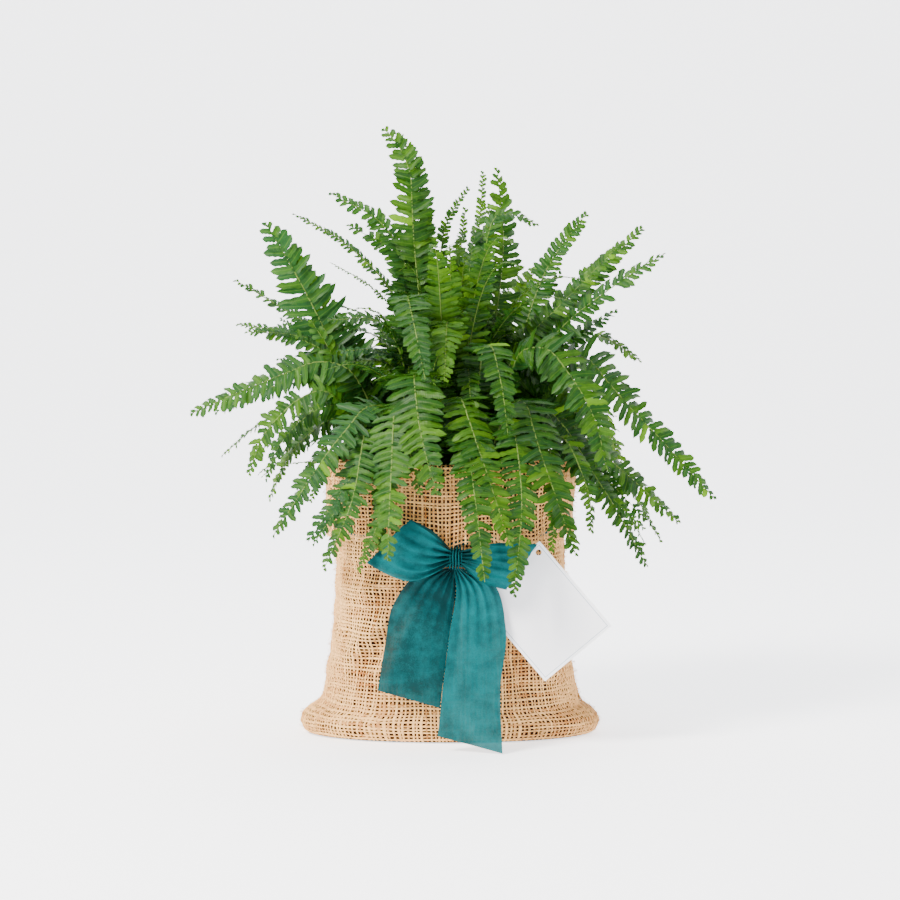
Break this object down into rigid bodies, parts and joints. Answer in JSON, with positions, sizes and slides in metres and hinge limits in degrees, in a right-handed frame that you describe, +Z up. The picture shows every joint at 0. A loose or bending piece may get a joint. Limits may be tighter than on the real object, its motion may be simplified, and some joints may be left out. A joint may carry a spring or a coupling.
{
  "type": "boston fern in hessian wrap",
  "caption": "Potted Boston fern with arching fronds, standing in a cuffed hessian sack tied with a ribbon bow and a blank card tag.",
  "frame": {"origin": "on the surface that the sack stands on, under the middle of its base", "axes": "+Z up; the bow and tag face -Y; +X is to the right of someone who looks at the bow"},
  "size_m": [0.395, 0.314, 0.461],
  "materials": {
    "hessian": "open plain-weave jute, undyed, fuzzy",
    "pot_plastic": "thin blow-moulded nursery pot",
    "compost": "peat and fibre potting compost",
    "crown": "scaly brown rhizomes",
    "organza": "sheer teal organza, matt",
    "card": "uncoated white card, blank",
    "fern_leaf": "living fern leaf, soft satin"
  },
  "bodies": {
    "root": {"bow_knot": "organza", "bow_loop_left": "organza", "bow_loop_right": "organza", "compost": "compost", "fern_crown": "crown", "frond_back_1": "fern_leaf", "frond_back_2": "fern_leaf", "frond_back_3": "fern_leaf", "frond_back_4": "fern_leaf", "frond_back_5": "fern_leaf", "frond_back_6": "fern_leaf", "frond_back_7": "fern_leaf", "frond_back_8": "fern_leaf", "frond_back_9": "fern_leaf", "frond_front_1": "fern_leaf", "frond_front_10": "fern_leaf", "frond_front_2": "fern_leaf", "frond_front_3": "fern_leaf", "frond_front_4": "fern_leaf", "frond_front_5": "fern_leaf", "frond_front_6": "fern_leaf", "frond_front_7": "fern_leaf", "frond_front_8": "fern_leaf", "frond_front_9": "fern_leaf", "frond_left_1": "fern_leaf", "frond_left_10": "fern_leaf", "frond_left_11": "fern_leaf", "frond_left_2": "fern_leaf", "frond_left_3": "fern_leaf", "frond_left_4": "fern_leaf", "frond_left_5": "fern_leaf", "frond_left_6": "fern_leaf", "frond_left_7": "fern_leaf", "frond_left_8": "fern_leaf", "frond_left_9": "fern_leaf", "frond_right_1": "fern_leaf", "frond_right_2": "fern_leaf", "frond_right_3": "fern_leaf", "frond_right_4": "fern_leaf", "frond_right_5": "fern_leaf", "frond_right_6": "fern_leaf", "frond_right_7": "fern_leaf", "frond_right_8": "fern_leaf", "frond_right_9": "fern_leaf", "frond_upright_1": "fern_leaf", "frond_upright_2": "fern_leaf", "frond_upright_3": "fern_leaf", "frond_upright_4": "fern_leaf", "frond_upright_5": "fern_leaf", "frond_upright_6": "fern_leaf", "frond_upright_7": "fern_leaf", "frond_upright_8": "fern_leaf", "frond_upright_9": "fern_leaf", "gift_tag": "card", "hessian_sack": "hessian", "nursery_pot": "pot_plastic", "ribbon_band": "organza", "ribbon_tail_left": "organza", "ribbon_tail_right": "organza"}
  },
  "joints": []
}
